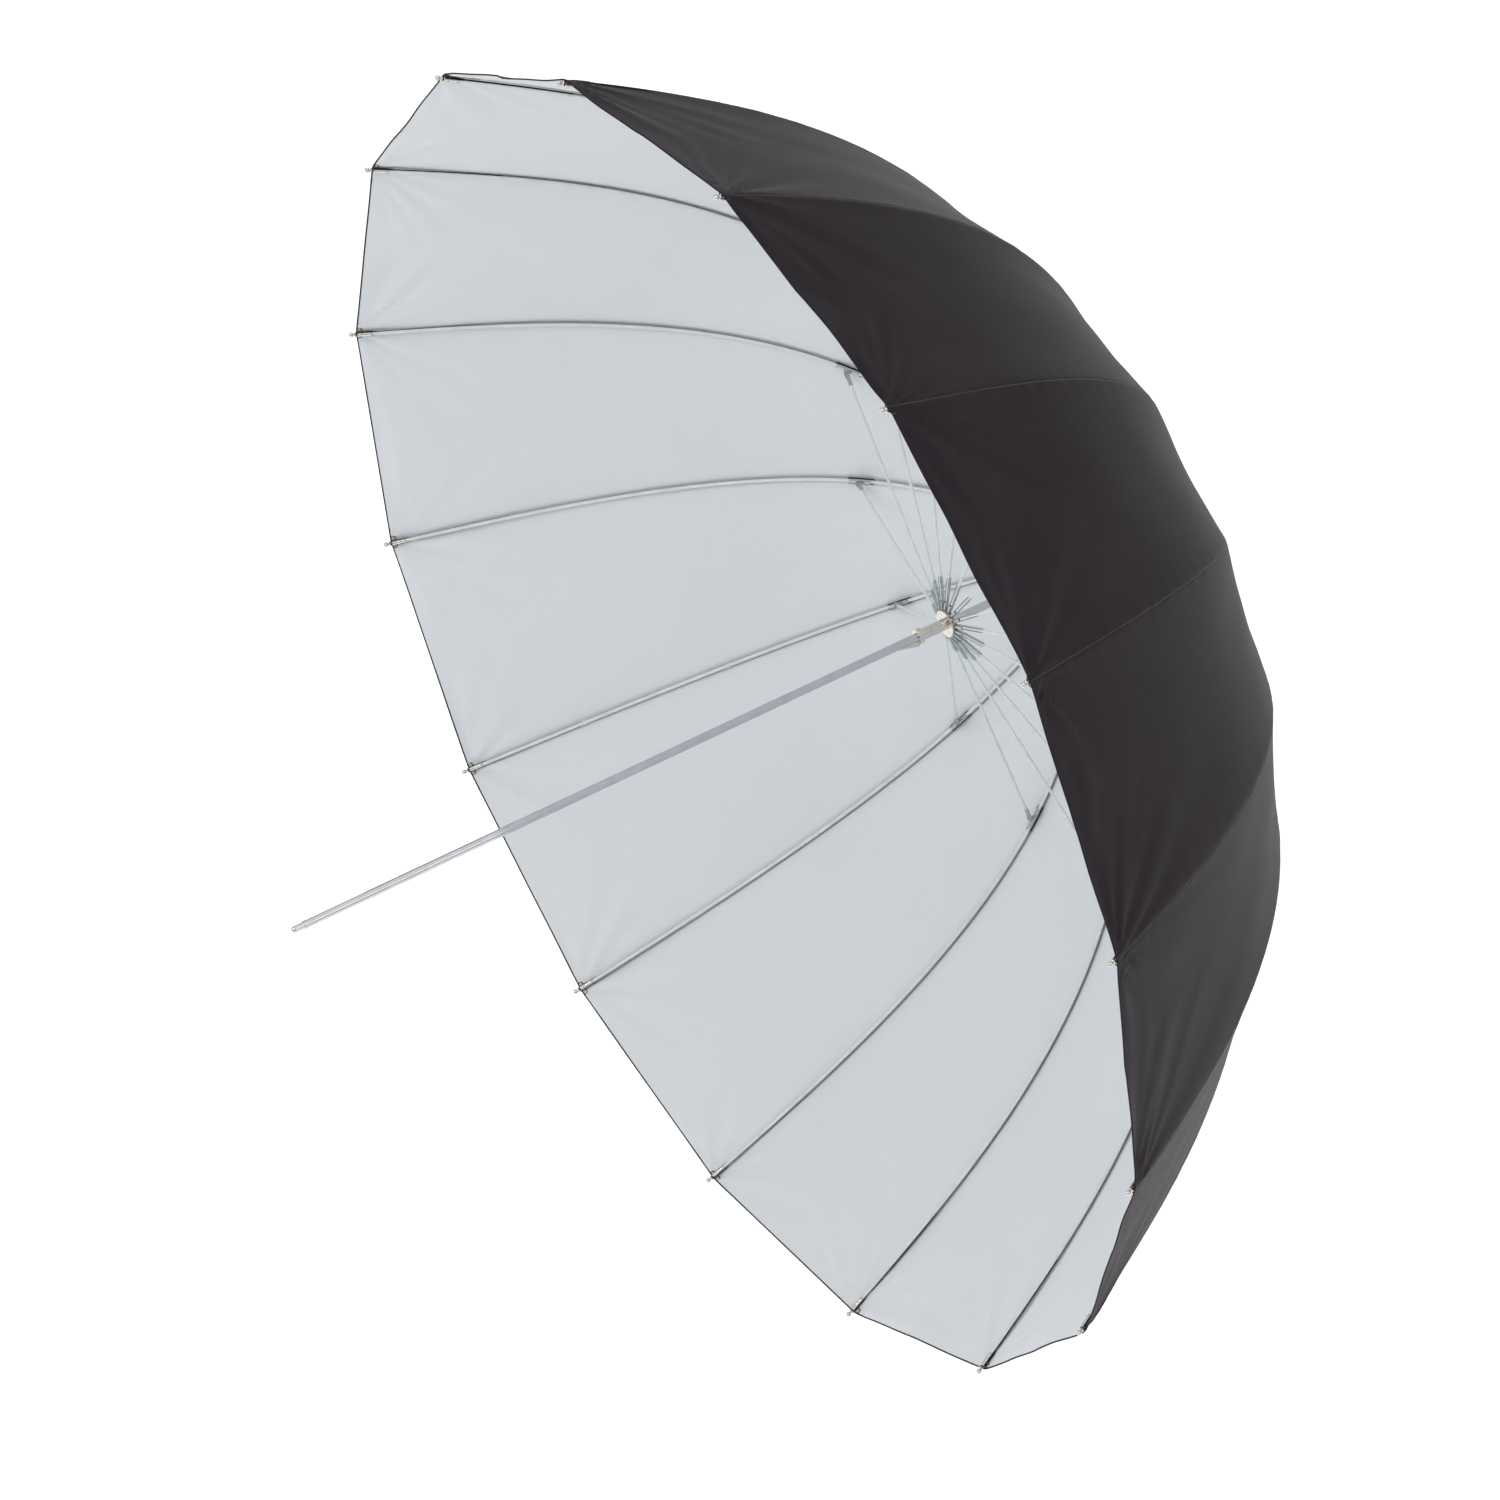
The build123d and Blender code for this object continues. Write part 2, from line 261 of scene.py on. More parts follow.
def rod_material():
    """Pale glass fibre in resin, slightly translucent, with streaks."""
    material, tree, shader, colour = nodes_of("glass fibre rod", "fibreglass", (0.88, 0.91, 0.93))
    shader.inputs["Roughness"].default_value = 0.28
    shader.inputs["Coat Weight"].default_value = 0.2
    fibres = noise_node(tree, 60.0, 6.0)
    tint = ramp(tree, fibres.outputs["Fac"], shade(colour, 0.86), shade(colour, 1.0))
    tree.links.new(tint, shader.inputs["Base Color"])
    bumped(tree, shader, [fibres.outputs["Fac"]], 0.1, 0.0003)
    return material


def thread_material():
    """Black sewing thread, twisted."""
    material, tree, shader, colour = nodes_of("black thread", "thread")
    shader.inputs["Roughness"].default_value = 0.75
    shader.inputs["Sheen Weight"].default_value = 0.25
    fluff = noise_node(tree, 900.0, 3.0)
    tint = ramp(tree, fluff.outputs["Fac"], shade(colour, 0.6), shade(colour, 1.6))
    tree.links.new(tint, shader.inputs["Base Color"])
    bumped(tree, shader, [fluff.outputs["Fac"]], 0.4, 0.0003)
    return material


def paper_material():
    """Matt white studio floor."""
    material = bpy.data.materials.new("studio floor")
    material.use_nodes = True
    tree = material.node_tree
    shader = tree.nodes["Principled BSDF"]
    shader.inputs["Roughness"].default_value = 1.0
    shader.inputs["Specular IOR Level"].default_value = 0.0
    shader.inputs["Base Color"].default_value = grey(0.95)
    shader.inputs["Emission Color"].default_value = grey(1.0)
    shader.inputs["Emission Strength"].default_value = FLOOR_GLOW
    return material


WHITE = cloth_material("white cloth", "cloth", 0.62, (0.93, 0.93, 0.94), 0.012, 0.2)
BLACK = cloth_material("black cloth", "cloth_black", 0.5, (0.62, 0.53, 0.6), 0.12, 0.07)
TAPE_EDGE = cloth_material("tape edge", "cloth_black", 0.6, (8.0, 8.6, 8.4), 0.1, 0.1)
THREAD = thread_material()
ROD = rod_material()
NICKEL = metal_material("nickel plate", "nickel", (1.0, 1.03, 1.09), 0.1, 240.0, 0.1, 0.12)
CHROME = metal_material("chromed shaft", "shaft_tube", (1.0, 1.0, 1.0), 0.07, 60.0, 0.1, 0.04)
ZINC = zinc_material()


# ---- meshes

class Shape:
    """Points and faces gathered for one piece. Each face has a finish, an index of materials."""

    def __init__(self):
        self.points = []
        self.faces = []
        self.finishes = []

    def add(self, part, place=Matrix(), finish=0):
        points, faces = part
        first = len(self.points)
        self.points += [place @ Vector(point) for point in points]
        self.faces += [[first + i for i in face] for face in faces]
        self.finishes += [finish] * len(faces)
        return self

    def make(self, name, materials, bevel=0.0, smooth_below=38.0):
        """The mesh object: normals outwards, sharp edges bevelled and the rest smooth."""
        mesh = bpy.data.meshes.new(name)
        mesh.from_pydata([tuple(point) for point in self.points], [], self.faces)
        mesh.polygons.foreach_set("material_index", self.finishes)
        work = bmesh.new()
        work.from_mesh(mesh)
        bmesh.ops.recalc_face_normals(work, faces=work.faces)
        if bevel:
            sharp = [e for e in work.edges if e.calc_face_angle(0.0) > math.radians(smooth_below)]
            bmesh.ops.bevel(
                work, geom=sharp, offset=bevel, segments=2, affect="EDGES", clamp_overlap=True
            )
        work.to_mesh(mesh)
        work.free()
        mesh.shade_smooth()
        mesh.set_sharp_from_angle(angle=math.radians(smooth_below))
        for material in materials:
            mesh.materials.append(material)
        piece = bpy.data.objects.new(name, mesh)
        bpy.context.scene.collection.objects.link(piece)
        return piece


def turned(profile, sides=24, closed=False):
    """A profile of (x, radius) turned round the X axis. A closed one is a ring, others are capped."""
    rows = len(profile)
    points = []
    for x, radius in profile:
        for i in range(sides):
            angle = 2 * math.pi * i / sides
            points.append((x, radius * math.cos(angle), radius * math.sin(angle)))
    faces = []
    for row in range(rows if closed else rows - 1):
        here, there = row * sides, (row + 1) % rows * sides
        for i in range(sides):
            j = (i + 1) % sides
            faces.append((here + i, here + j, there + j, there + i))
    if not closed:
        faces.append(tuple(range(sides)))
        faces.append(tuple(range((rows - 1) * sides, rows * sides)))
    return points, faces


def extruded(outline, low, high):
    """An outline in XY between two values of z."""
    count = len(outline)
    points = [(x, y, z) for z in (low, high) for x, y in outline]
    faces = [tuple(range(count)), tuple(range(count, 2 * count))]
    faces += [(i, (i + 1) % count, (i + 1) % count + count, i + count) for i in range(count)]
    return points, faces


def swept(path, radius, sides=10):
    """A round bar along points, carried without twist."""
    path = [Vector(point) for point in path]
    across = None
    points = []
    for i, point in enumerate(path):
        heading = (path[min(i + 1, len(path) - 1)] - path[max(i - 1, 0)]).normalized()
        if across is None:
            across = heading.orthogonal()
        across = (across - across.dot(heading) * heading).normalized()
        other = heading.cross(across)
        for j in range(sides):
            angle = 2 * math.pi * j / sides
            points.append(point + radius * (math.cos(angle) * across + math.sin(angle) * other))
    faces = []
    for i in range(len(path) - 1):
        for j in range(sides):
            k = (j + 1) % sides
            faces.append((i * sides + j, i * sides + k, (i + 1) * sides + k, (i + 1) * sides + j))
    faces.append(tuple(range(sides)))
    faces.append(tuple(range((len(path) - 1) * sides, len(path) * sides)))
    return points, faces


def ball(x, radius, sides=20, rows=10):
    """A ball on the X axis."""
    steps = [math.pi * (i + 0.15) / (rows + 0.3) for i in range(rows + 1)]
    return turned([(x - radius * math.cos(a), radius * math.sin(a)) for a in steps], sides)


def coil(x_start, x_end, radius, wire, turns, per_turn=14):
    """Thread wound round the X axis."""
    count = int(turns * per_turn)
    path = []
    for i in range(count + 1):
        angle = 2 * math.pi * turns * i / count
        x = x_start + (x_end - x_start) * i / count
        path.append((x, radius * math.cos(angle), radius * math.sin(angle)))
    return swept(path, wire, 6)


def lashing(half_length, radius, wire, turns):
    """Thread that goes back and forth over the inner side of a rod along X."""
    count = turns * 16
    path = []
    for i in range(count + 1):
        angle = math.pi + 1.5 * math.sin(2 * math.pi * turns * i / count)
        x = half_length * (2 * i / count - 1)
        path.append((x, radius * math.cos(angle), radius * math.sin(angle)))
    return swept(path, wire, 6)


# ---- the cloth

HEM = 5.5 * MM              # rib's tip to the corner of the cloth
CLOTH_INSIDE = 3.4 * MM     # rib's centreline to the inside of the cloth
CLOTH_THICKNESS = 0.7 * MM
CROWN_INSIDE = 4.9 * MM     # the same over the crown, which stands higher than the ribs
CROWN_RISE_START = 45 * MM
CROWN_RISE_END = 14 * MM
PAST_CROWN = 2 * MM
SAG = 3 * MM
ROW_STEP = 5 * MM
GROOVE = 0.7 * MM          # where the gores are sewn together, along each rib
GROOVE_WIDTH = 1.4 * MM
TONGUE = 4 * MM
HALF_COLUMNS = 18

# Bands of cloth, from the rim to the crown: where each starts, and how flat it folds
cloth_end = rib_length + PAST_CROWN
bands = [
    ("rim", HEM, 0.12, "rib_outer", 0.09),
    ("lower", 0.12, 0.25, "rib_outer", 0.13),
    ("middle", 0.25, flex_distance, "rib_outer", 0.15),
    ("upper", flex_distance, 0.66, "rib_inner", 0.15),
    ("high", 0.66, 0.78, "rib_inner", 0.24),
    ("crown", 0.78, cloth_end, "rib_inner", 0.5),
]


def smooth_step(value, start, end):
    share = np.clip((np.asarray(value, float) - start) / (end - start), 0, 1)
    return share * share * (3 - 2 * share)


def cloth_lift(distance):
    """Rib's centreline to the inside of the cloth, which rises over the crown."""
    risen = smooth_step(rib_length - distance, CROWN_RISE_END, CROWN_RISE_START)
    return CROWN_INSIDE + (CLOTH_INSIDE - CROWN_INSIDE) * risen


def corner_folds(x, z, seed):
    """Folds that fan out from a corner of a gore, where the cloth is tied to its rib."""
    reach = math.hypot(x, z)
    fan = math.atan2(x, z + 1e-9)
    ridge = noise.noise(Vector((fan * 5.5, seed * 3.7, reach * 6)))
    return ridge * math.exp(-reach / 0.11) * min(reach / 0.02, 1.0)


def folds(gore, across, distance, width):
    """How far soft folds lift the cloth. Across goes from 0 to 1 between two ribs."""
    from_rib = min(across, 1 - across) * width
    along = distance - HEM
    corner = corner_folds(from_rib, along, gore * 2 + (across > 0.5))
    slack = noise.noise(Vector((across * 3.1, distance * 9, gore * 1.9)))
    hem = noise.noise(Vector((across * 4.3, distance * 45, gore * 5.3 + 20)))
    pull = noise.noise(Vector((distance * 70, gore * 7.7, 3.0)))
    edge = math.sin(math.pi * across)
    return (
        3.6 * MM * corner
        + 2.0 * MM * slack * edge
        + 1.8 * MM * hem * math.exp(-along / 0.035) * edge
        + 0.5 * MM * pull * math.exp(-from_rib / 0.012) * min(from_rib / 0.002, 1.0)
        - GROOVE * math.exp(-((from_rib / GROOVE_WIDTH) ** 2))
    )


def cloth_rows():
    """Distances from the tip, evenly spaced in each band, and the row that each band starts on."""
    rows = []
    starts = []
    for _, start, end, _, _ in bands:
        count = max(3, round((end - start) / ROW_STEP))
        starts.append(len(rows))
        rows += [start + (end - start) * i / count for i in range(count)]
    return rows + [cloth_end], starts + [len(rows)]


row_distances, band_rows = cloth_rows()
halves = [0.5 * (i / HALF_COLUMNS) ** 1.8 for i in range(HALF_COLUMNS + 1)]
columns = halves + [1 - value for value in halves[-2::-1]]


def gore_points(gore):
    """Grid of points on the inside of a gore, and the way out of the cloth at each of them."""
    grid = np.zeros((len(row_distances), len(columns), 3))
    angles = [STEP_ANGLE * (gore - 1), STEP_ANGLE * gore]
    for i, distance in enumerate(row_distances):
        radius, height = rib_point(distance)
        width = 2 * radius * math.sin(STEP_ANGLE / 2)
        span = (distance - HEM) / (rib_length - HEM)
        sag = SAG * math.sin(math.pi * min(max(span, 0.0), 1.0)) ** 0.8
        for j, across in enumerate(columns):
            lift = float(cloth_lift(distance)) - sag * 4 * across * (1 - across)
            lift += folds(gore, across, distance, width) * min((rib_length - distance) / 0.1, 1.0)
            reach, rise = rib_point(distance, lift)
            for share, angle in zip((1 - across, across), angles):
                grid[i, j] += share * np.array(
                    [reach * math.cos(angle), rise, reach * math.sin(angle)]
                )
    down = np.gradient(grid, axis=0)
    over = np.gradient(grid, axis=1)
    out = np.cross(over, down)
    out /= np.linalg.norm(out, axis=2, keepdims=True)
    middle = Vector((math.cos(sum(angles) / 2), 0.6, math.sin(sum(angles) / 2)))
    if (out * np.array(middle)).sum() < 0:
        out = -out
    return grid, out


gores = [gore_points(gore) for gore in range(1, RIBS + 1)]
middle_column = len(columns) // 2


def panel_grid(number):
    """The cloth from the middle of one gore to the middle of the next, with a rib between them."""
    before, before_out = gores[(number - 2) % RIBS]
    after, after_out = gores[number - 1]
    points = np.concatenate([before[:, middle_column:-1], after[:, : middle_column + 1]], axis=1)
    out = np.concatenate(
        [before_out[:, middle_column:-1], after_out[:, : middle_column + 1]], axis=1
    )
    seam = before_out.shape[1] - 1 - middle_column
    out[:, seam] = before_out[:, -1] + after_out[:, 0]
    out[:, seam] /= np.linalg.norm(out[:, seam], axis=1, keepdims=True)
    return points, out, seam


def cloth_panel(name, points, out, rows, seam, tongue):
    """A band of a panel as a thin closed shell, black outside and white inside.

    Its own normals are those of the whole canopy, so the bands and panels shade as one cloth.
    A tongue of thinner cloth goes on under the band below it, and covers the gap when they fold.
    """
    first, last = rows
    inside = points[first : last + 1]
    normal = out[first : last + 1]
    low, high = np.zeros(len(inside)), np.full(len(inside), CLOTH_THICKNESS)
    if tongue:
        slope = inside[0] - inside[1]
        slope /= np.linalg.norm(slope, axis=1, keepdims=True)
        extra = inside[0] + slope * TONGUE
        inside = np.concatenate([extra[None], inside[:1], inside])
        normal = np.concatenate([normal[:1], normal[:1], normal])
        thin = (0.3 * CLOTH_THICKNESS, 0.7 * CLOTH_THICKNESS)
        low = np.concatenate([[thin[0]] * 2, low])
        high = np.concatenate([[thin[1]] * 2, high])
    height, width = inside.shape[:2]
    lower = inside + normal * low[:, None, None]
    upper = inside + normal * high[:, None, None]
    vertices = np.concatenate([lower.reshape(-1, 3), upper.reshape(-1, 3)])
    index = np.arange(height * width).reshape(height, width)
    size = height * width
    faces, finish = [], []
    flat_normals = normal.reshape(-1, 3)
    steps = np.linalg.norm(np.diff(inside[:, seam], axis=0), axis=1)
    along = np.concatenate([[0], np.cumsum(steps)])
    wide = np.cumsum(np.concatenate([[0], np.linalg.norm(np.diff(inside[-1], axis=0), axis=1)]))
    wide = (wide - wide[seam])[None, :] * np.ones((height, 1))
    uv = np.stack([wide, along[:, None] * np.ones((1, width))], axis=2).reshape(-1, 2)

    def quad(corners, material):
        faces.append(corners)
        finish.append(material)

    for i in range(height - 1):
        for j in range(width - 1):
            a, b, c, d = (int(index[i, j]), int(index[i, j + 1]),
                          int(index[i + 1, j + 1]), int(index[i + 1, j]))
            quad((a, b, c, d), 1)
            quad((a + size, d + size, c + size, b + size), 0)
    rim = [int(index[0, j]) for j in range(width)]
    rim += [int(index[i, -1]) for i in range(1, height)]
    rim += [int(index[-1, j]) for j in range(width - 2, -1, -1)]
    rim += [int(index[i, 0]) for i in range(height - 2, 0, -1)]
    for a, b in zip(rim, rim[1:] + rim[:1]):
        quad((a, a + size, b + size, b), 0)
    mesh = bpy.data.meshes.new(name)
    mesh.from_pydata(vertices.tolist(), [], faces)
    centre = Vector(flat_normals[0])
    if mesh.polygons[1].normal.dot(centre) < 0:
        mesh.flip_normals()
    mesh.polygons.foreach_set("material_index", finish)
    layer = mesh.uv_layers.new(name="cloth")
    for polygon in mesh.polygons:
        for loop in polygon.loop_indices:
            layer.data[loop].uv = uv[mesh.loops[loop].vertex_index % size]
    mesh.shade_smooth()
    loop_normals = []
    for polygon in mesh.polygons:
        sign = -1.0 if polygon.material_index else 1.0
        for loop in polygon.loop_indices:
            loop_normals.append(sign * Vector(flat_normals[mesh.loops[loop].vertex_index % size]))
    mesh.normals_split_custom_set(loop_normals)
    mesh.materials.append(BLACK)
    mesh.materials.append(WHITE)
    panel = bpy.data.objects.new(name, mesh)
    bpy.context.scene.collection.objects.link(panel)
    return panel


HEM_ROLL = 0.8 * MM
# Black seam thread outside along each rib; its dark line also paints the shade in the seam's fold.
SEAM_THREAD_AND_SHADE = 0.35 * MM


def sewn(name, path, radius, body, number, material, sides=8):
    """A roll or thread on the cloth, which folds with it."""
    piece = Shape().add(swept(path, radius, sides)).make(name, [material], smooth_below=80.0)
    fold(piece, body, number)
    return piece


def fold(piece, body, number):
    """The piece moves with its rib, and gets a mesh of its own."""
    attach(piece, numbered(body, number))
    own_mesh(piece)


def canopy():
    """All the cloth, in panels centred on the ribs, with the hem and the seams. The seams' black
    thread also paints the shade in the fold along each rib.
    """
    for number in range(1, RIBS + 1):
        points, out, seam = panel_grid(number)
        for k, (band, start, end, body, keep) in enumerate(bands):
            rows = (band_rows[k], band_rows[k + 1])
            name = f"cloth_{band}_{number:02d}"
            panel = cloth_panel(name, points, out, rows, seam, band == "upper")
            fold(panel, body, number)
            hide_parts("canopy")
            if band == "rim":
                edge = points[0] + out[0] * CLOTH_THICKNESS / 2
                sewn(numbered("hem", number), edge, HEM_ROLL, body, number,
                                  BLACK)
            if band != "crown":
                span = slice(rows[0], rows[1] + 1)
                # The seam thread is sewing thread and also painted shade: a dark line where the seam
                # folds along the rib.
                seam_thread_and_shade_path = points[span, seam] + out[span, seam] * CLOTH_THICKNESS
                sewn(f"seam_{band}_{number:02d}", seam_thread_and_shade_path, SEAM_THREAD_AND_SHADE, body, number,
                                  THREAD, 6)


def crown_patch():
    """The round patch of cloth under the washer."""
    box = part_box("crown_washer")
    top = box[0][1] - 0.1 * MM
    rows = [(top, 5.2 * MM), (top, 12 * MM), (top - 0.3 * MM, 18 * MM), (top - 1.5 * MM, 21 * MM),
            (top - 2.1 * MM, 20.6 * MM), (top - 0.9 * MM, 17.6 * MM), (top - 0.6 * MM, 12 * MM),
            (top - 0.6 * MM, 5.2 * MM)]
    patch = Shape().add(turned(rows, 64, closed=True), Matrix.Rotation(math.pi / 2, 4, "Z"))
    piece = patch.make("crown_patch", [BLACK], smooth_below=60.0)
    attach(piece, "shaft_and_crown")


# ---- ribs

TUBE_START = 10 * MM
TUBE_END = 24 * MM
TUBE_RADIUS = 2.3 * MM
EYE_RADIUS = 2.2 * MM
EYE_HALF = 1.1 * MM
TIP_TUBE = 21 * MM
BALL_RADIUS = 2.6 * MM
CLIP_HALF = 12.5 * MM
CASING_SPREAD = 90          # degrees to each side of the middle of the tape
CASING_BLACK = 50
CASING_RADIUS = 2.0 * MM
CASING_PALE = 0.13         # nearer the rim than this the edges are black too
# The black stitch line beside each rod: sewing thread, and also the rod's painted shadow on the white
# cloth.
STITCH_AND_SHADOW_RADIUS = 0.15 * MM
STITCH_AND_SHADOW_SIDE = 2.6 * MM
STITCH_AND_SHADOW_OUT = 1.6 * MM


def bend_over_flex(piece):
    """The piece's placement is baked into its mesh. It does not bend where the CAD has a hinge in the
    rib.
    """
    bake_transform(piece)


def rods():
    """The long springy rods. Each is one piece from the crown to its tip."""
    start = rib_length - TUBE_START - 4 * MM
    count = 150
    for number in range(1, RIBS + 1):
        path = []
        for i in range(count + 1):
            distance = 4.5 * MM + (start - 4.5 * MM) * i / count
            radius, height = rib_point(distance)
            path.append(rib_turn(number) @ Vector((radius, height, 0)))
        rod = Shape().add(swept(path, ROD_RADIUS, 16)).make(numbered("rod", number), [ROD])
        bend_over_flex(rod)
        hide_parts(numbered("rib_inner", number), numbered("rib_outer", number))


def casing_radius(distance):
    """The casing is wider where it goes over the metal ends and the saddle."""
    over_tip = smooth_step(TIP_TUBE + 5 * MM - distance, 0, 4 * MM)
    over_root = smooth_step(distance - (rib_length - TUBE_END - 5 * MM), 0, 4 * MM)
    over_saddle = smooth_step(CLIP_HALF + 5 * MM - abs(distance - SADDLE_DISTANCE), 0, 4 * MM)
    return float(CASING_RADIUS + 0.65 * MM * (over_tip + over_root) + 1.05 * MM * over_saddle)


def casings():
    """Tape sewn over the outer side of each rod, under the cloth. It is black, with paler edges."""
    start, end = HEM + 1 * MM, rib_length - TUBE_START
    spread = math.radians(CASING_SPREAD)
    arc = [spread * (i / 6 - 1) for i in range(13)]
    section = [(1.0, a) for a in arc] + [(0.9, a) for a in reversed(arc)]
    middle = math.radians(CASING_BLACK)
    sides = zip(section, section[1:] + section[:1])
    edges = [int(min(abs(a), abs(b)) >= middle) for (_, a), (_, b) in sides]
    rows = 240
    finishes = []
    for i in range(rows):
        distance = start + (end - start) * i / rows
        pale = distance > CASING_PALE and casing_radius(distance) < CASING_RADIUS + 0.1 * MM
        finishes += edges if pale else [0] * len(edges)
    for number in range(1, RIBS + 1):
        points = []
        for i in range(rows + 1):
            distance = start + (end - start) * i / rows
            place = rib_turn(number) @ rib_place(distance)
            size = casing_radius(distance)
            wrap = 1 + 0.35 * (size / CASING_RADIUS - 1)
            for r, a in section:
                out, side = size * r * math.cos(wrap * a), size * r * math.sin(wrap * a)
                points.append(place @ Vector((0, out, side)))
        size = len(section)
        faces = []
        for i in range(rows):
            here, there = i * size, (i + 1) * size
            for j in range(size):
                k = (j + 1) % size
                faces.append((here + j, here + k, there + k, there + j))
        faces += [tuple(range(size)), tuple(range(rows * size, (rows + 1) * size))]
        tape = Shape().add((points, faces))
        tape.finishes = finishes + [0, 0]
        tape = tape.make(numbered("casing", number), [BLACK, TAPE_EDGE], smooth_below=50.0)
        bend_over_flex(tape)


def stitch_and_shadow_lines():
    """The line of black thread along one side of each rod, where the gores are sewn to the tape. Its
    dark line on the white cloth is also a painted shadow of the rod.
    """
    count = 160
    for number in range(1, RIBS + 1):
        path = []
        for i in range(count + 1):
            distance = 0.03 + (rib_length - 0.08) * i / count
            out = STITCH_AND_SHADOW_OUT + 0.25 * MM * noise.noise(Vector((distance * 60, number * 2.3, 0)))
            place = rib_turn(number) @ rib_place(distance)
            wander = noise.noise(Vector((distance * 25, number, 5.0)))
            side = STITCH_AND_SHADOW_SIDE + 0.3 * MM * wander
            path.append(place @ Vector((0, out, side)))
        # Dark thread line that also paints the rod's shadow on the cloth.
        line = Shape().add(swept(path, STITCH_AND_SHADOW_RADIUS, 6))
        line = line.make(numbered("stitch_and_shadow", number), [THREAD], smooth_below=80.0)
        bend_over_flex(line)


def eye_and_neck(neck_end, half_height):
    """Flattened end of a fitting, with its eye at the origin. It points along X."""
    outline = []
    for i in range(13):
        angle = math.pi / 2 + math.pi * i / 12
        outline.append((EYE_RADIUS * math.cos(angle), EYE_RADIUS * math.sin(angle)))
    outline += [(neck_end, -half_height), (neck_end, half_height)]
    return extruded(outline, -EYE_HALF, EYE_HALF)


def root_ends():
    """Nickel ends of the ribs in the crown, with a pressed neck and a crimped tube."""
    tube = [(TUBE_START, 1.4 * MM), (TUBE_START + 2 * MM, TUBE_RADIUS)]
    for crimp in (16 * MM, 20 * MM):
        tube += [(crimp - 0.8 * MM, TUBE_RADIUS), (crimp, TUBE_RADIUS - 0.25 * MM),
                 (crimp + 0.8 * MM, TUBE_RADIUS)]
    tube += [(TUBE_END - 0.3 * MM, TUBE_RADIUS), (TUBE_END, TUBE_RADIUS - 0.3 * MM)]
    turn = Matrix.Rotation(math.radians(CROWN_ANGLE - 90), 4, "Z")
    place = Matrix.Translation((*crown_pivot, 0)) @ turn
    for number in range(1, RIBS + 1):
        where = rib_turn(number) @ place
        shape = Shape().add(eye_and_neck(TUBE_START + 3 * MM, 1.6 * MM), where)
        shape.add(turned(tube, 20), where)
        piece = shape.make(numbered("root_end", number), [NICKEL], bevel=0.15 * MM)
        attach(piece, numbered("rib_inner", number))
        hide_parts(numbered("rib_inner", number))


def clip_section(opening=0.75, radius=2.7 * MM, wall=0.7 * MM, steps=14):
    """Outline of sheet metal bent round a rod, open towards the canopy, in YZ."""
    start, end = math.pi / 2 + opening, 2 * math.pi + math.pi / 2 - opening
    angles = [start + (end - start) * i / steps for i in range(steps + 1)]
    outer = [(radius * math.cos(a), radius * math.sin(a)) for a in angles]
    bore = radius - wall
    inner = [(bore * math.cos(a), bore * math.sin(a)) for a in reversed(angles)]
    return outer + inner


def saddles():
    """Zinc clips crimped on the ribs, each with a lug and rivet for its stretcher."""
    along_x = Matrix.Rotation(math.pi / 2, 4, "Y")
    lug = [(-4.5 * MM, -2.2 * MM), (-1.8 * MM, -SADDLE_DROP - 1.2 * MM), (0, -SADDLE_DROP - 2 * MM),
           (1.8 * MM, -SADDLE_DROP - 1.2 * MM), (4.5 * MM, -2.2 * MM)]
    for number in range(1, RIBS + 1):
        where = rib_turn(number) @ rib_place(SADDLE_DISTANCE)
        shape = Shape()
        section = [(-y, z) for z, y in clip_section()]
        turn = where @ Matrix.Rotation(math.pi / 2, 4, "Y") @ Matrix.Rotation(math.pi / 2, 4, "Z")
        for low, high in ((-CLIP_HALF, -6.2 * MM), (-5.4 * MM, 5.4 * MM), (6.2 * MM, CLIP_HALF)):
            shape.add(extruded([(z, y) for y, z in section], low, high), turn)
        spine = extruded([(-CLIP_HALF, -2.75 * MM), (CLIP_HALF, -2.75 * MM),
                          (CLIP_HALF, -2.1 * MM), (-CLIP_HALF, -2.1 * MM)], -1.2 * MM, 1.2 * MM)
        shape.add(spine, where)
        for side in (-0.55, 0.55):
            shape.add(extruded(lug, (side - 0.3) * MM, (side + 0.3) * MM), where)
        pivot = where @ Matrix.Translation((0, -SADDLE_DROP, 0)) @ along_x
        pin = [(-3.2 * MM, 1.0 * MM), (-3.0 * MM, 1.5 * MM), (-2.5 * MM, 1.6 * MM),
               (-2.4 * MM, 0.8 * MM), (2.4 * MM, 0.8 * MM), (2.5 * MM, 1.6 * MM),
               (3.0 * MM, 1.5 * MM), (3.2 * MM, 1.0 * MM)]
        shape.add(turned(pin, 16), pivot)
        piece = shape.make(numbered("saddle", number), [ZINC], bevel=0.1 * MM)
        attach(piece, numbered("rib_inner", number))
        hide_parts(numbered("rib_inner", number))


def rib_ties():
    """Thread that ties the seam of the cloth round each rib, in several places."""
    for number in range(1, RIBS + 1):
        for body, spots in (("rib_outer", (0.13, 0.3)), ("rib_inner", (0.56, 0.68, 0.79))):
            shape = Shape()
            for spot in spots:
                distance = spot + 0.012 * noise.noise(Vector((number * 1.7, spot * 31, 0)))
                where = rib_turn(number) @ rib_place(distance)
                shape.add(lashing(1.6 * MM, 2.15 * MM, 0.3 * MM, 4), where)
                tail = [(1.6 * MM, -2.1 * MM, 0), (3 * MM, -1.4 * MM, 1.8 * MM),
                        (4.5 * MM, -0.4 * MM, 2.7 * MM)]
                shape.add(swept(tail, 0.25 * MM, 6), where)
            piece = shape.make(f"tie_{body}_{number:02d}", [WHITE], smooth_below=80.0)
            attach(piece, numbered(body, number))


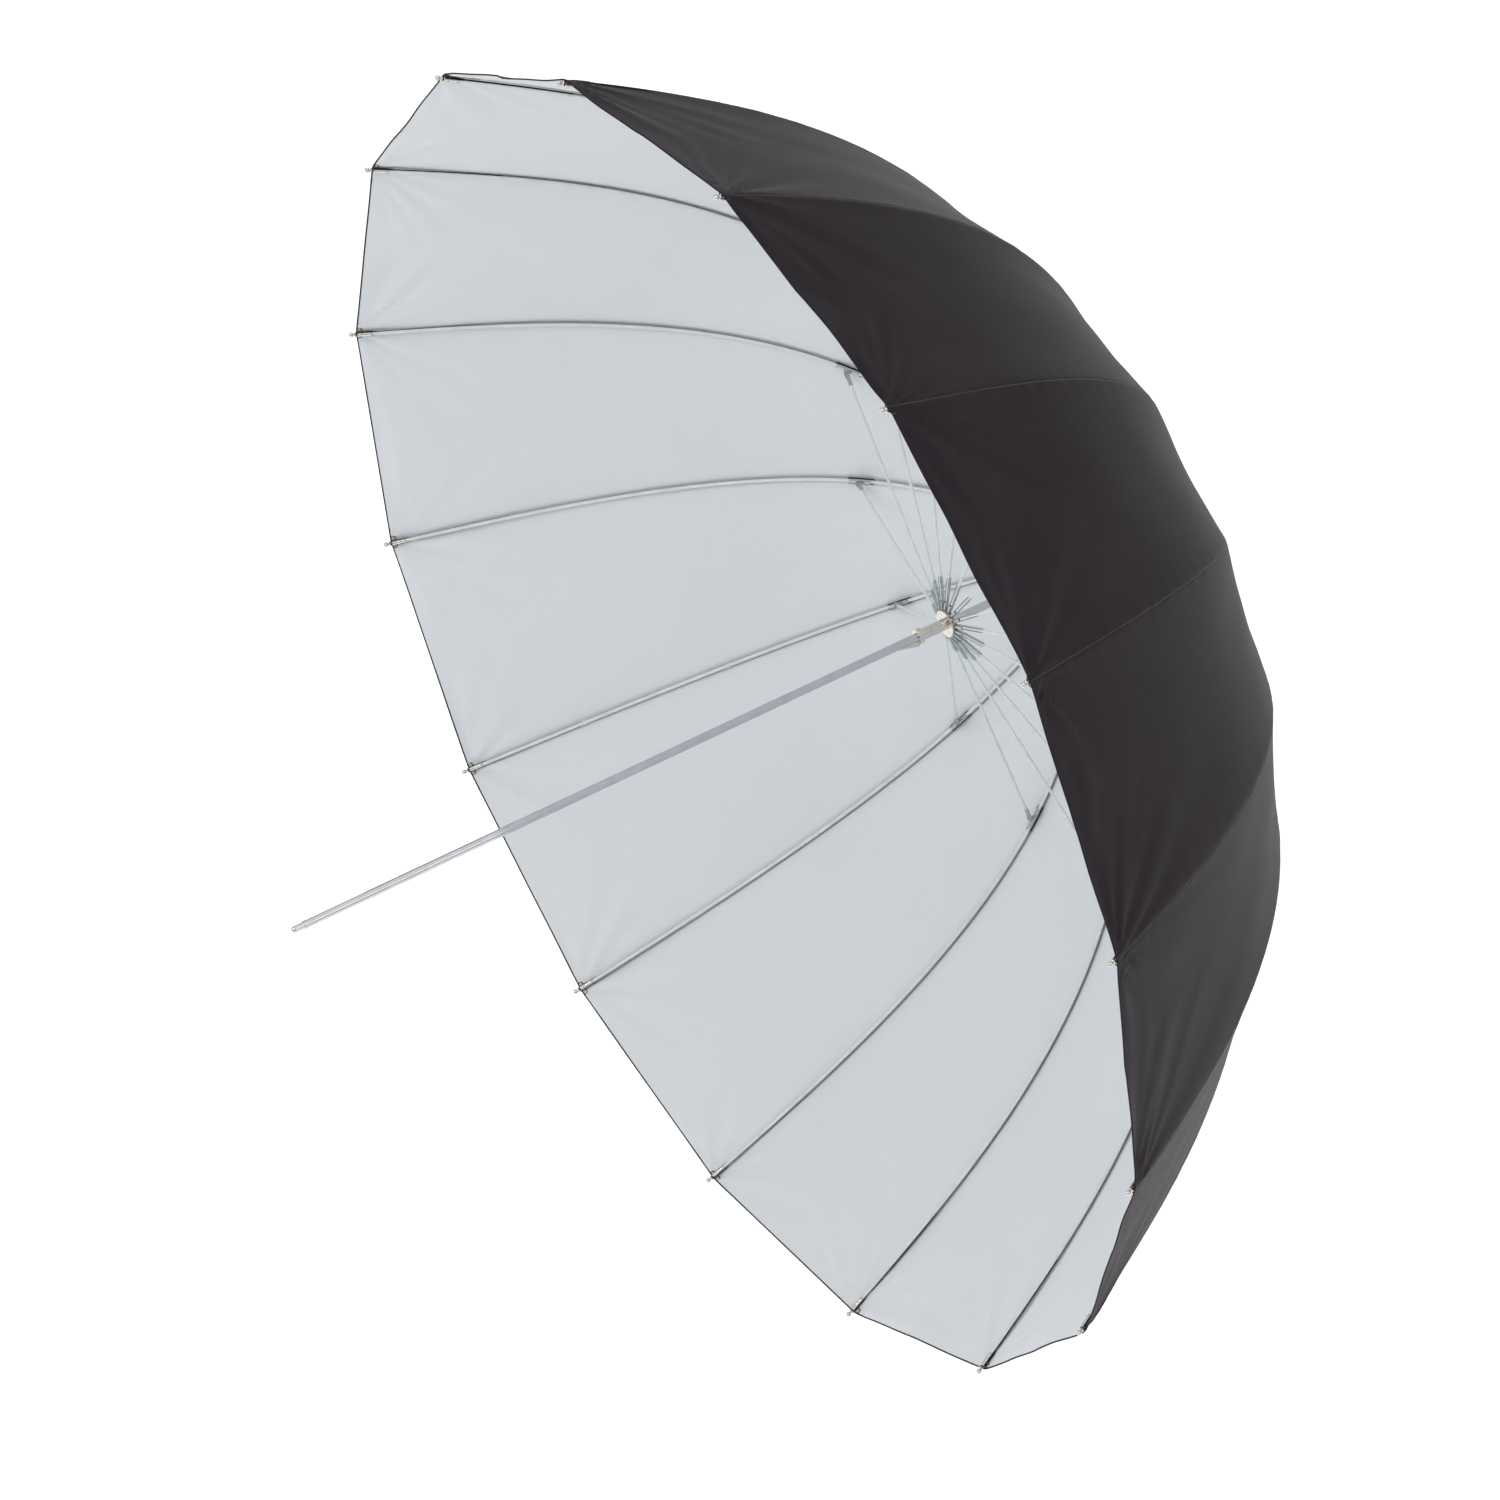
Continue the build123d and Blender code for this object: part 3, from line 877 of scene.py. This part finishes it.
def tips():
    """Nickel tubes on the rods' ends, with a bead and a ball past the cloth."""
    profile = [(-TIP_TUBE, 1.95 * MM), (-TIP_TUBE + 0.3 * MM, TUBE_RADIUS)]
    for crimp in (-16 * MM, -12 * MM):
        profile += [(crimp - 0.9 * MM, TUBE_RADIUS), (crimp, 2.05 * MM),
                    (crimp + 0.9 * MM, TUBE_RADIUS)]
    profile += [(-6.6 * MM, TUBE_RADIUS), (-6.0 * MM, 1.5 * MM), (-4.6 * MM, 1.3 * MM),
                (-4.3 * MM, 2.2 * MM), (-3.8 * MM, 2.5 * MM), (-3.2 * MM, 2.2 * MM),
                (-2.8 * MM, 1.3 * MM), (-2.2 * MM, 1.3 * MM)]
    for number in range(1, RIBS + 1):
        where = rib_turn(number) @ rib_place(0.0)
        shape = Shape().add(turned(profile, 24), where).add(ball(0.0, BALL_RADIUS), where)
        piece = shape.make(numbered("tip", number), [NICKEL], smooth_below=50.0)
        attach(piece, numbered("rib_outer", number))
        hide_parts(numbered("rib_outer", number))


def corner_tabs():
    """Black thread that ties each corner of the cloth through its tip, and the tab it passes."""
    for number in range(1, RIBS + 1):
        where = rib_turn(number) @ rib_place(0.0)
        shape = Shape().add(coil(-5.9 * MM, -4.8 * MM, 1.75 * MM, 0.4 * MM, 3), where)
        for side in (-1, 1):
            loop = [(-5.4 * MM, 0.6 * MM, side * 1.8 * MM), (-5.8 * MM, 2.0 * MM, side * 4.2 * MM),
                    (-7.2 * MM, 2.6 * MM, side * 6.6 * MM), (-9.8 * MM, 2.4 * MM, side * 6.2 * MM),
                    (-10.6 * MM, 1.6 * MM, side * 3.8 * MM), (-10 * MM, 0.4 * MM, side * 2.7 * MM)]
            shape.add(swept(loop, 0.55 * MM, 8), where)
        piece = shape.make(numbered("corner_tie", number), [THREAD], smooth_below=80.0)
        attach(piece, numbered("rib_outer", number))


# ---- stretchers

SHOE_START = 3.6 * MM
SHOE_END = 33 * MM
FORK_END = 19 * MM
ROD_IN_SHOE = 10 * MM
ROD_IN_FORK = 10.5 * MM
run = Vector((rivet[0] - runner_pivot[0], rivet[1] - runner_pivot[1]))
stretcher_length = run.length
stretcher_turn = Matrix.Rotation(math.atan2(run.y, run.x), 4, "Z")
stretcher_place = Matrix.Translation((*runner_pivot, 0)) @ stretcher_turn


def shoe_parts():
    """Open channel of sheet metal, pressed flat to an eye."""
    half_width, half_height, wall = 1.9 * MM, 1.5 * MM, 0.35 * MM
    sides = []
    for side in (-1, 1):
        low, high = sorted((side * half_width, side * (half_width - wall)))
        outline = [(SHOE_START + 4 * MM, -half_height), (SHOE_END - 1 * MM, -half_height),
                   (SHOE_END, -half_height + 1 * MM), (SHOE_END, half_height),
                   (SHOE_START + 1 * MM, half_height), (SHOE_START + 1 * MM, 0)]
        sides.append(extruded(outline, low, high))
    back = extruded([(SHOE_START, half_height - wall), (SHOE_END, half_height - wall),
                     (SHOE_END, half_height), (SHOE_START, half_height)], -half_width, half_width)
    return sides + [back, eye_and_neck(SHOE_START + 5 * MM, 1.4 * MM)]


def fork_parts():
    """Two cheeks round the saddle's lug, on a crimped tube. The rivet is at the origin."""
    outline = []
    for i in range(11):
        angle = -math.pi / 2 + math.pi * i / 10
        outline.append((2 * MM * math.cos(angle), 2 * MM * math.sin(angle)))
    outline += [(-9 * MM, 1.6 * MM), (-9 * MM, -1.6 * MM)]
    parts = [extruded(outline, *sorted((side * 1.25 * MM, side * 2.1 * MM))) for side in (-1, 1)]
    tube = [(-FORK_END, 1.7 * MM), (-FORK_END + 0.3 * MM, 2 * MM), (-15 * MM, 2 * MM),
            (-14 * MM, 1.75 * MM),
            (-13 * MM, 2 * MM), (-9 * MM, 2.05 * MM), (-7.5 * MM, 1.9 * MM)]
    return parts + [turned(tube, 20)]


def stretchers():
    """Struts from the runner to the saddles: a shoe, a thin rod and a fork."""
    far = stretcher_place @ Matrix.Translation((stretcher_length, 0, 0))
    for number in range(1, RIBS + 1):
        body = numbered("stretcher", number)
        turn = rib_turn(number)
        ends = [turn @ stretcher_place @ Vector((x, 0, 0))
                for x in np.linspace(ROD_IN_SHOE, stretcher_length - ROD_IN_FORK, 24)]
        rod = Shape().add(swept(ends, STRETCHER_ROD, 14)).make(numbered("strut_rod", number), [ROD])
        shoe = Shape()
        for part in shoe_parts():
            shoe.add(part, turn @ stretcher_place)
        shoe = shoe.make(numbered("shoe", number), [ZINC], bevel=0.1 * MM)
        fork = Shape()
        for part in fork_parts():
            fork.add(part, turn @ far)
        fork = fork.make(numbered("fork", number), [ZINC], bevel=0.1 * MM)
        for piece, slot in ((rod, "fibreglass"), (shoe, "galvanised"), (fork, "galvanised")):
            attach(piece, body)
            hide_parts(body)


# ---- hardware that the CAD already has

def carried_over():
    """CAD pieces that are shown as they are, with their finishes."""
    metals = {"shaft": (CHROME, "shaft_tube"), "shaft_end_plug": (NICKEL, "nickel"),
              "crown_notch": (NICKEL, "nickel"), "crown_wire": (ZINC, "galvanised"),
              "crown_cap": (NICKEL, "nickel"), "crown_washer": (NICKEL, "nickel"),
              "runner": (NICKEL, "nickel"), "runner_wire": (ZINC, "galvanised"),
              "catch_spring": (NICKEL, "nickel")}
    for name, (material, slot) in metals.items():
        piece = frame["nodes"][name]
        piece.data.materials.clear()
        piece.data.materials.append(material)


def wire_twist(name, height, radius, start_angle, body):
    """The twisted ends of a wire ring, bent down beside it."""
    shape = Shape()
    for strand in (0, 1):
        path = []
        for i in range(37):
            share = i / 36
            angle = strand * math.pi + share * 5 * math.pi
            out = radius + 1.2 * MM + 9 * MM * share
            spin = 0.75 * MM
            path.append((out, spin * math.cos(angle) - 2.5 * MM * share, spin * math.sin(angle)))
        shape.add(swept(path, 0.55 * MM, 8))
    place = Matrix.Translation((0, height, 0)) @ Matrix.Rotation(-start_angle, 4, "Y")
    shape.points = [place @ Vector(point) for point in shape.points]
    piece = shape.make(name, [ZINC], smooth_below=80.0)
    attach(piece, body)


def runner_trim():
    """Rolled lips on the runner's collar and sleeve."""
    low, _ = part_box("runner")
    along_y = Matrix.Rotation(math.pi / 2, 4, "Z")

    def lip(height, radius, size):
        ring = []
        for i in range(12):
            angle = 2 * math.pi * i / 12
            ring.append((height + size * math.cos(angle), radius + size * math.sin(angle)))
        return turned(ring, 40, closed=True)

    shape = Shape().add(lip(low[1] + 0.4 * MM, 7.3 * MM, 0.5 * MM), along_y)
    shape.add(lip(low[1] + 4.7 * MM, 7.3 * MM, 0.4 * MM), along_y)
    shape.add(lip(low[1] + 14 * MM, 5.6 * MM, 0.35 * MM), along_y)
    stud = [(5.0 * MM, 2.4 * MM), (6.4 * MM, 2.4 * MM), (7.2 * MM, 1.9 * MM), (7.5 * MM, 0.9 * MM)]
    for turn in (2.5, 10.5):
        place = Matrix.Rotation(-STEP_ANGLE * turn, 4, "Y")
        shape.add(turned(stud, 20), Matrix.Translation((0, low[1] + 29 * MM, 0)) @ place)
    piece = shape.make("runner_lips", [NICKEL], smooth_below=80.0)
    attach(piece, "runner")


# ---- floor, light and camera

FLOOR_DROP = 0.9


def softbox(tree):
    """A room that is bright overhead and greyer round the sides, which gives metal its contrast."""
    place = tree.nodes.new("ShaderNodeTexCoord")
    split = tree.nodes.new("ShaderNodeSeparateXYZ")
    tree.links.new(place.outputs["Generated"], split.inputs["Vector"])
    levels = tree.nodes.new("ShaderNodeValToRGB")
    levels.color_ramp.elements[0].position = 0.0
    levels.color_ramp.elements[0].color = grey(0.6)
    levels.color_ramp.elements[1].position = 0.75
    levels.color_ramp.elements[1].color = grey(1.0)
    for position, value in ((0.18, 0.55), (0.3, 0.16), (0.45, 0.16), (0.6, 0.9)):
        levels.color_ramp.elements.new(position).color = grey(value)
    tree.links.new(split.outputs["Z"], levels.inputs["Fac"])
    tree.links.new(levels.outputs["Color"], tree.nodes["Background"].inputs["Color"])


def studio():
    low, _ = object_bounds()
    bpy.ops.mesh.primitive_plane_add(size=40, location=(0, 0, low[2] - FLOOR_DROP))
    floor = bpy.context.object
    floor.name = "floor"
    floor.data.materials.append(paper_material())
    floor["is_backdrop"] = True
    world = bpy.data.worlds.new("studio")
    bpy.context.scene.world = world
    world.use_nodes = True
    softbox(world.node_tree)
    for name, place, size, power in (
        ("key", (-0.6, -3.2, 3.4), 2.4, 45.0),
        ("fill", (3.6, 1.4, 2.4), 2.6, 16.0),
    ):
        light = bpy.data.lights.new(name, "AREA")
        light.size = size
        light.energy = power
        lamp = bpy.data.objects.new(name, light)
        lamp.location = place
        lamp.rotation_euler = (-Vector(place)).to_track_quat("-Z", "Y").to_euler()
        bpy.context.scene.collection.objects.link(lamp)
    bpy.context.scene.view_settings.view_transform = "Standard"


CAMERA_PLACE = Vector((3.000, -1.992, 3.758))
CAMERA_HEADING = Vector((-0.5709, 0.3872, -0.7240))
CAMERA_RIGHT = Vector((0.5524, 0.8335, 0.0102))
CAMERA_LENS = 135.4


def camera():
    back = -CAMERA_HEADING.normalized()
    right = (CAMERA_RIGHT - CAMERA_RIGHT.dot(back) * back).normalized()
    up = back.cross(right)
    data = bpy.data.cameras.new("camera")
    data.lens = CAMERA_LENS
    data.sensor_width = 36.0
    data.clip_end = 100.0
    view = bpy.data.objects.new("camera", data)
    turn = Matrix((right, up, back)).transposed().to_4x4()
    view.matrix_world = Matrix.Translation(CAMERA_PLACE) @ turn
    bpy.context.scene.collection.objects.link(view)
    bpy.context.scene.camera = view


rods()
casings()
stitch_and_shadow_lines()
canopy()
crown_patch()
root_ends()
saddles()
rib_ties()
tips()
corner_tabs()
stretchers()
carried_over()
wire_twist("runner_wire_twist", runner_pivot[1], runner_pivot[0], STEP_ANGLE * 10.5, "runner")
wire_twist("crown_wire_twist", crown_pivot[1], crown_pivot[0], STEP_ANGLE * 3.5, "shaft_and_crown")
runner_trim()
studio()
camera()
